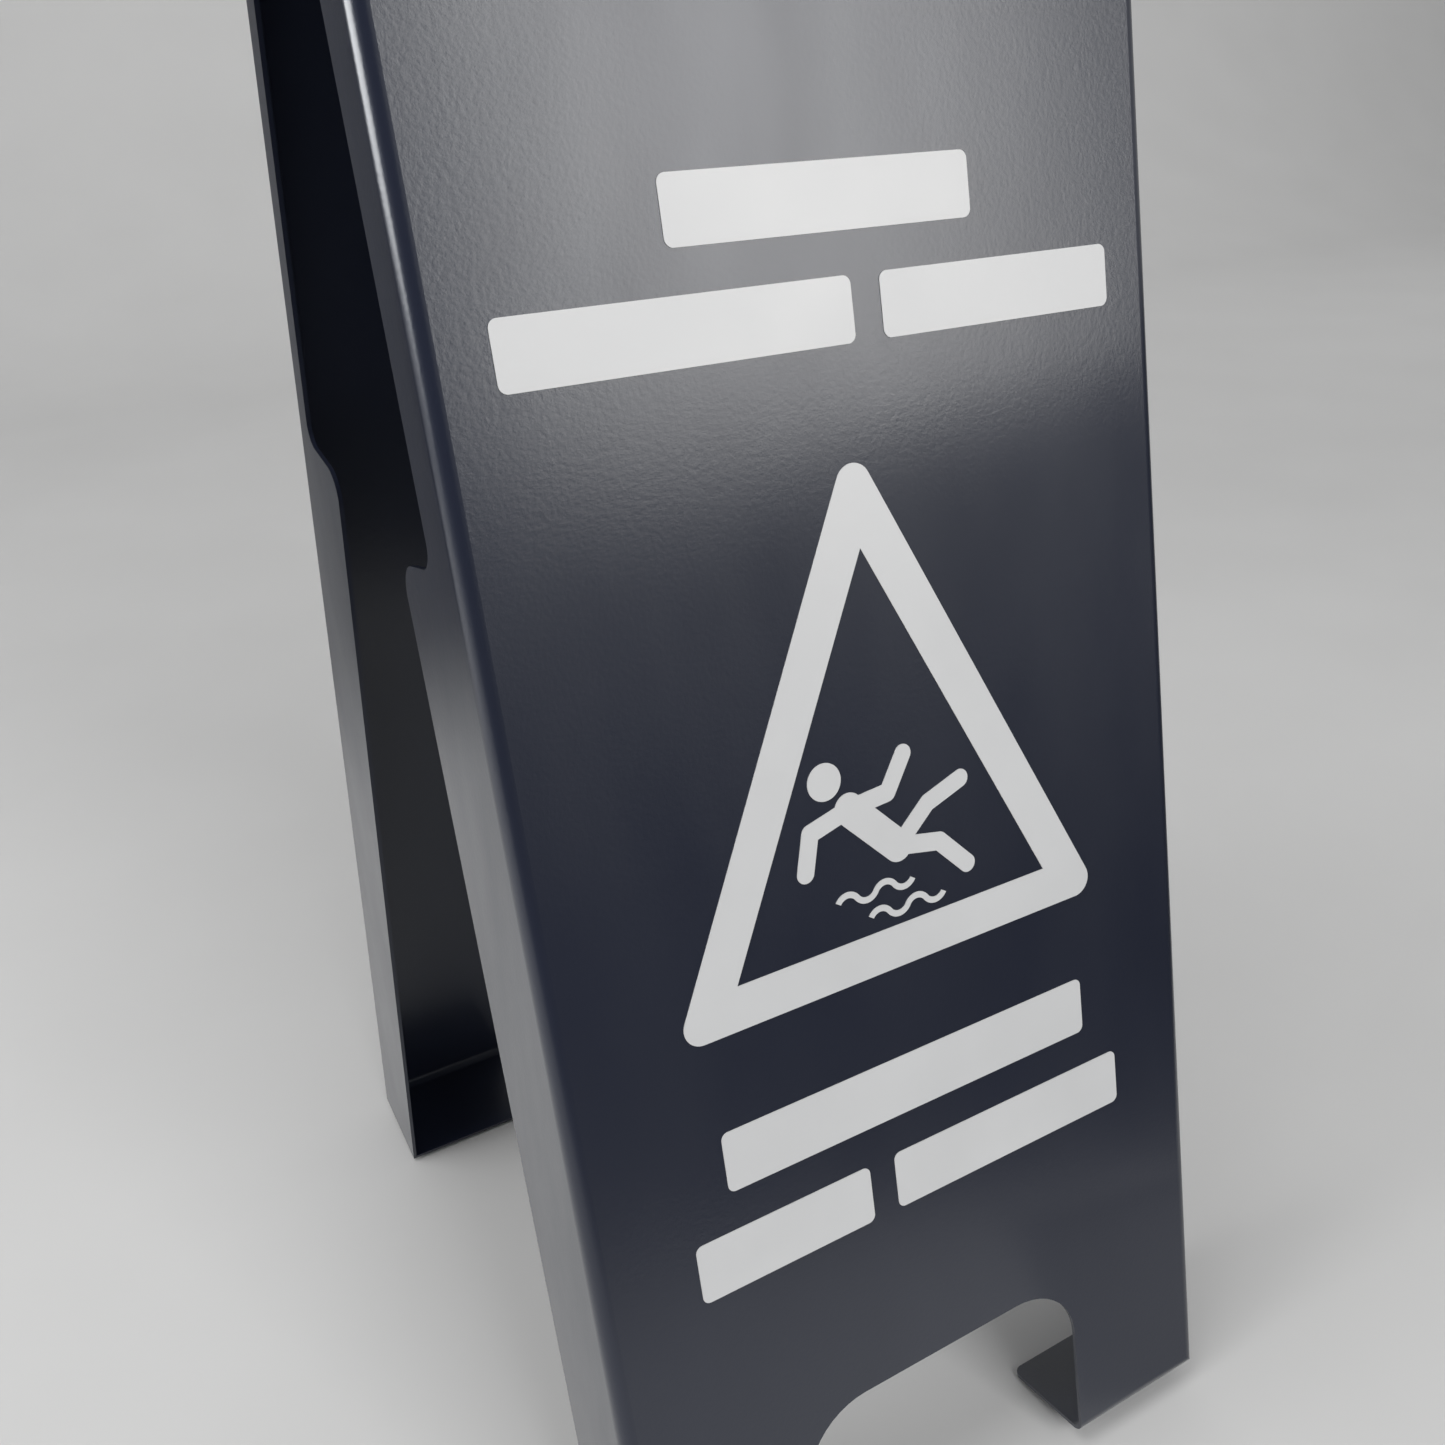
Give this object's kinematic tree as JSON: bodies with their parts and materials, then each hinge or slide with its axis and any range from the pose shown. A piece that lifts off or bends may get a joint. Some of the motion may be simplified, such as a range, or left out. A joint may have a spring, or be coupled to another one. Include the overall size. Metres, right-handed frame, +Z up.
{
  "type": "wet floor sign",
  "caption": "Folding A-frame wet floor sign in dark powder-coated sheet steel, hinged at the top, with a white warning triangle and plain text bars on both faces.",
  "frame": {"origin": "on the floor, midway between the two faces' bottom edges and midway across the width", "axes": "+Z up; the front face looks towards -Y; +X is to the right when facing the front face"},
  "size_m": [0.194, 0.2616, 0.6395],
  "materials": {
    "powder_coat": "satin",
    "rivet_steel": "satin",
    "nylon": "matte",
    "rubber": "matte",
    "white_film": "satin"
  },
  "bodies": {
    "front_frame": {"front_panel": "powder_coat", "pivot_rivet_left": "rivet_steel", "pivot_rivet_right": "rivet_steel", "spacer_washer_left": "nylon", "spacer_washer_right": "nylon", "front_foot_pad_left": "rubber", "front_foot_pad_right": "rubber", "front_triangle_film": "white_film", "front_figure_film": "white_film", "front_water_film": "white_film", "front_upper_text_bars": "white_film", "front_lower_text_bars": "white_film"},
    "rear_frame": {"rear_panel": "powder_coat", "rear_foot_pad_left": "rubber", "rear_foot_pad_right": "rubber", "rear_triangle_film": "white_film", "rear_figure_film": "white_film", "rear_water_film": "white_film", "rear_upper_text_bars": "white_film", "rear_lower_text_bars": "white_film"}
  },
  "joints": [
    {"name": "fold", "type": "hinge", "parent": "front_frame", "child": "rear_frame", "pos_m": [0, 0.00122, 0.62317], "axis": [-1, 0, 0], "range_deg": [0, 17.8]}
  ]
}
